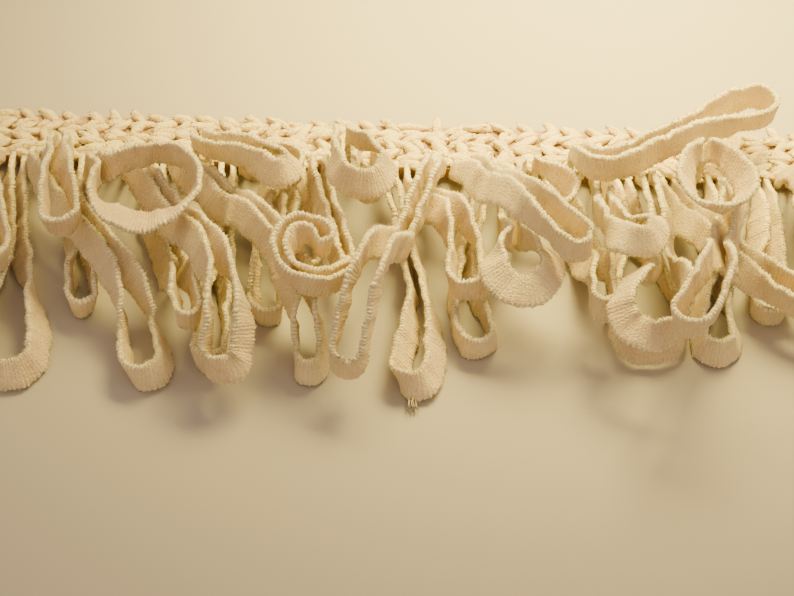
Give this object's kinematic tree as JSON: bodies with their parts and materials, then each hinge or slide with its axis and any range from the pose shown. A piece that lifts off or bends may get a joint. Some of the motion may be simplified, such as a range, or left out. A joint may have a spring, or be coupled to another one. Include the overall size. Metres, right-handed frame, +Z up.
{
  "type": "loop fringe trim",
  "caption": "Knitted heading band with a dense row of soft tape loops along one edge, which curl, fold and lie over each other.",
  "frame": {"origin": "middle of the heading's flat back face, which lies on the table", "axes": "+X along the trim, -Y the way the loops fall from the heading, +Z up from the table"},
  "size_m": [0.1358, 0.0547, 0.0205],
  "materials": {
    "knit": "soft knitted yarn",
    "tape": "short velvet pile with shiny edges"
  },
  "bodies": {
    "root": {"heading": "knit", "loop_fringe": "tape"}
  },
  "joints": []
}
